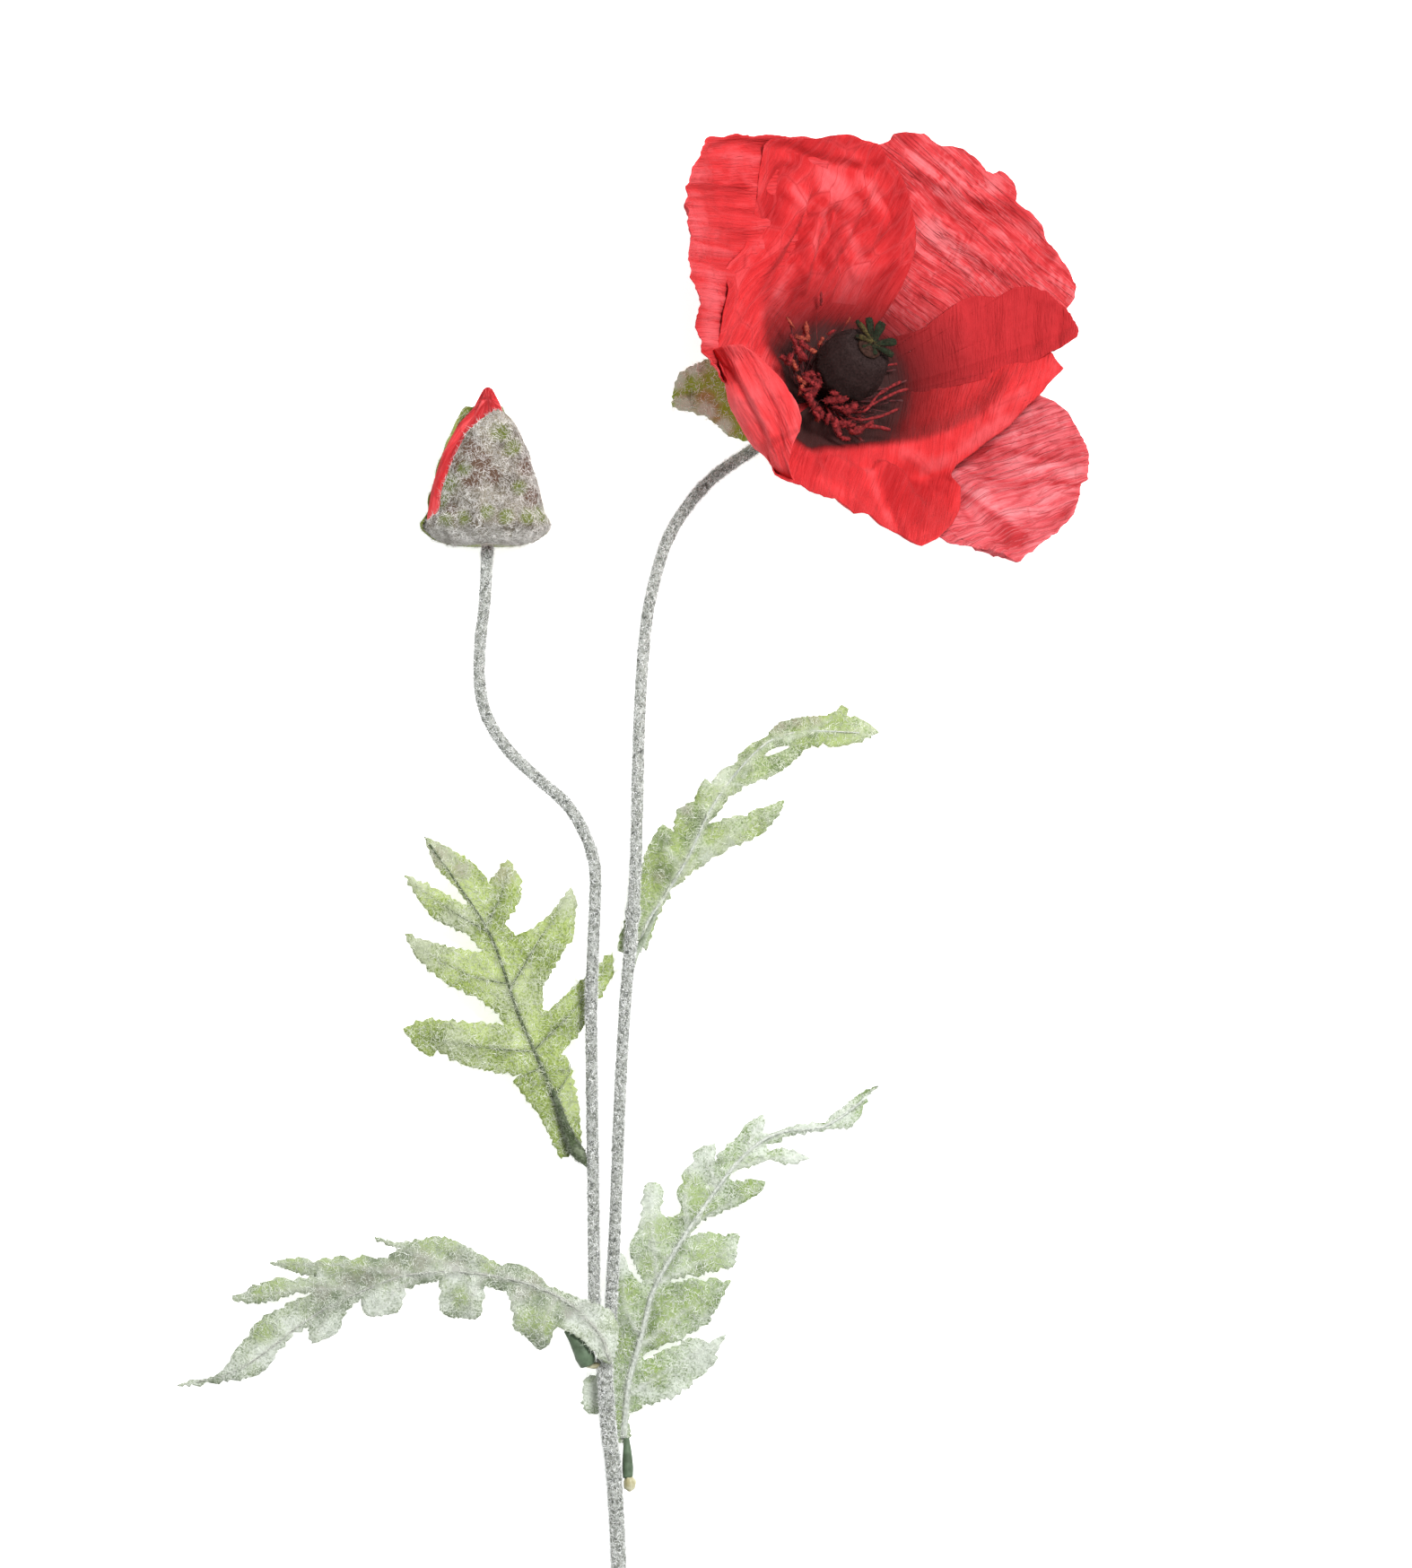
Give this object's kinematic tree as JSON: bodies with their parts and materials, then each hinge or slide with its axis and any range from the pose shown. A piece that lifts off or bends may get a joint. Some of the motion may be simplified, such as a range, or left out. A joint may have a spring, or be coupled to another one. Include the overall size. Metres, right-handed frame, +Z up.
{
  "type": "artificial corn poppy spray",
  "caption": "Artificial corn poppy lying on its side: an open crinkled red bloom with a dark centre, a closed bud, cut pinnate leaves and thin flocked stems.",
  "frame": {"origin": "middle of the footprint, on the surface that the spray lies on", "axes": "+Y from the cut end of the stem towards the bloom, +X to the bloom's side of the spray, +Z up from the surface"},
  "size_m": [0.2022, 0.4058, 0.0569],
  "materials": {
    "flocked_stem": "short grey-white flocking over wire",
    "green_plastic": "moulded, matt",
    "dried_glue": "dried glue bead",
    "petal_crepe": "crinkled crepe fabric",
    "capsule_velvet": "dark velvet",
    "stigma_velvet": "dark green velvet",
    "stamen_thread": "stiffened thread",
    "bud_crepe": "folded crepe fabric",
    "bud_sepal_flock": "mottled flocking",
    "bloom_sepal_flock": "mottled flocking",
    "leaf_flock": "thin printed fabric with short flocking"
  },
  "bodies": {
    "root": {"bloom_sepal_left": "bloom_sepal_flock", "bloom_sepal_right": "bloom_sepal_flock", "bloom_stem": "flocked_stem", "bud_core": "bud_crepe", "bud_sepal_back": "bud_sepal_flock", "bud_sepal_front": "bud_sepal_flock", "bud_stem": "flocked_stem", "glue_bead_left": "dried_glue", "glue_bead_right": "dried_glue", "leaf_left": "leaf_flock", "leaf_lower_left": "leaf_flock", "leaf_lower_right": "leaf_flock", "leaf_stalk_left": "green_plastic", "leaf_stalk_lower_left": "green_plastic", "leaf_stalk_lower_right": "green_plastic", "leaf_stalk_upper_right": "green_plastic", "leaf_upper_right": "leaf_flock", "main_stem": "flocked_stem", "petal_inner_bottom": "petal_crepe", "petal_inner_right": "petal_crepe", "petal_inner_top": "petal_crepe", "petal_outer_front": "petal_crepe", "petal_outer_left": "petal_crepe", "petal_outer_right": "petal_crepe", "petal_outer_top": "petal_crepe", "receptacle": "bloom_sepal_flock", "seed_capsule": "capsule_velvet", "stamen_ring": "stamen_thread", "stigma_disc": "stigma_velvet"}
  },
  "joints": []
}
